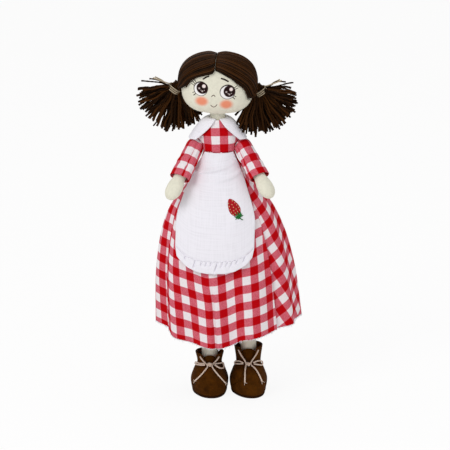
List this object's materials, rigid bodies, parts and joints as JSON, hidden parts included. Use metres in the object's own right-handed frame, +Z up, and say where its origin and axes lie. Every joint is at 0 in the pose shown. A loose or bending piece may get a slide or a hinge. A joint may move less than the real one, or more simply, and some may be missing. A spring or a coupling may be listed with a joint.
{
  "type": "rag doll",
  "caption": "Standing stuffed cloth doll with yarn pigtails, gingham dress, white collar and apron, and laced felt booties; head, arms, legs and pigtails move.",
  "frame": {"origin": "floor level under the middle of the doll's outline, without its laces and hair ties", "axes": "+Z up, -Y the way the doll faces, +X towards the doll's left"},
  "size_m": [0.1802, 0.115, 0.3922],
  "materials": {
    "skin_cloth": "cream plain-weave cotton, stuffed",
    "hair_yarn": "dark brown yarn",
    "tie_cord": "pale beige cotton cord",
    "gingham": "red and white gingham cotton",
    "white_cotton": "white cotton",
    "shoe_felt": "dark brown felt",
    "sole_felt": "darker brown felt sole",
    "insole_board": "stiff board inside the shoe",
    "lace_cord": "beige-pink cord",
    "berry_cloth": "red applique cloth",
    "leaf_cloth": "green applique cloth",
    "button": "small plain button"
  },
  "bodies": {
    "torso": {"torso": "skin_cloth", "shoulder_thread": "tie_cord", "dress_bodice": "gingham", "dress_skirt": "gingham", "apron": "white_cotton", "apron_ruffle": "white_cotton", "strawberry": "berry_cloth", "strawberry_leaf": "leaf_cloth", "right_collar": "white_cotton", "left_collar": "white_cotton"},
    "neck": {"neck": "skin_cloth"},
    "head": {"head": "skin_cloth", "right_hair": "hair_yarn", "left_hair": "hair_yarn"},
    "right_pigtail": {"right_pigtail": "hair_yarn", "right_hair_tie": "tie_cord"},
    "left_pigtail": {"left_pigtail": "hair_yarn", "left_hair_tie": "tie_cord"},
    "right_arm": {"right_arm": "skin_cloth", "right_shoulder_button": "button", "right_sleeve": "gingham"},
    "left_arm": {"left_arm": "skin_cloth", "left_shoulder_button": "button", "left_sleeve": "gingham"},
    "right_leg": {"right_leg": "skin_cloth", "right_foot": "skin_cloth", "right_shoe_sole": "sole_felt", "right_insole": "insole_board", "right_shoe_vamp": "shoe_felt", "right_shoe_quarter": "shoe_felt", "right_shoe_tongue": "shoe_felt", "right_lace_right_strand": "lace_cord", "right_lace_right_loop": "lace_cord", "right_lace_left_strand": "lace_cord", "right_lace_left_loop": "lace_cord", "right_lace_knot": "lace_cord"},
    "left_leg": {"left_leg": "skin_cloth", "left_foot": "skin_cloth", "left_shoe_sole": "sole_felt", "left_insole": "insole_board", "left_shoe_vamp": "shoe_felt", "left_shoe_quarter": "shoe_felt", "left_shoe_tongue": "shoe_felt", "left_lace_right_strand": "lace_cord", "left_lace_right_loop": "lace_cord", "left_lace_left_strand": "lace_cord", "left_lace_left_loop": "lace_cord", "left_lace_knot": "lace_cord"}
  },
  "joints": [
    {"name": "head_turn", "type": "hinge", "parent": "torso", "child": "neck", "pos_m": [-0.00483, 0.00058, 0.3158], "axis": [0, 0, 1], "range_deg": [-20, 20]},
    {"name": "head_nod", "type": "hinge", "parent": "neck", "child": "head", "pos_m": [-0.00483, 0.00058, 0.3358], "axis": [1, 0, 0], "range_deg": [-10, 10]},
    {"name": "right_pigtail_lift", "type": "hinge", "parent": "head", "child": "right_pigtail", "pos_m": [-0.05031, 0.01655, 0.34888], "axis": [0, 1, 0], "range_deg": [0, 40]},
    {"name": "left_pigtail_lift", "type": "hinge", "parent": "head", "child": "left_pigtail", "pos_m": [0.04002, 0.01655, 0.34573], "axis": [0, -1, 0], "range_deg": [0, 40]},
    {"name": "right_arm_raise", "type": "hinge", "parent": "torso", "child": "right_arm", "pos_m": [-0.03065, 0.00058, 0.2818], "axis": [-1, 0, 0], "range_deg": [0, 52]},
    {"name": "left_arm_raise", "type": "hinge", "parent": "torso", "child": "left_arm", "pos_m": [0.02372, 0.00058, 0.2818], "axis": [-1, 0, 0], "range_deg": [0, 52]},
    {"name": "left_leg_raise", "type": "hinge", "parent": "torso", "child": "left_leg", "pos_m": [0.01752, 0.00058, 0.182], "axis": [-1, 0, 0], "range_deg": [-15, 90], "deforming": ["dress_skirt", "apron", "apron_ruffle", "strawberry", "strawberry_leaf"]},
    {"name": "right_leg_raise", "type": "hinge", "parent": "torso", "child": "right_leg", "pos_m": [-0.01648, 0.00058, 0.182], "axis": [-1, 0, 0], "range_deg": [-15, 90]}
  ],
  "couplings": [
    {"joint": "right_leg_raise", "follows": "left_leg_raise", "ratio": 1}
  ]
}
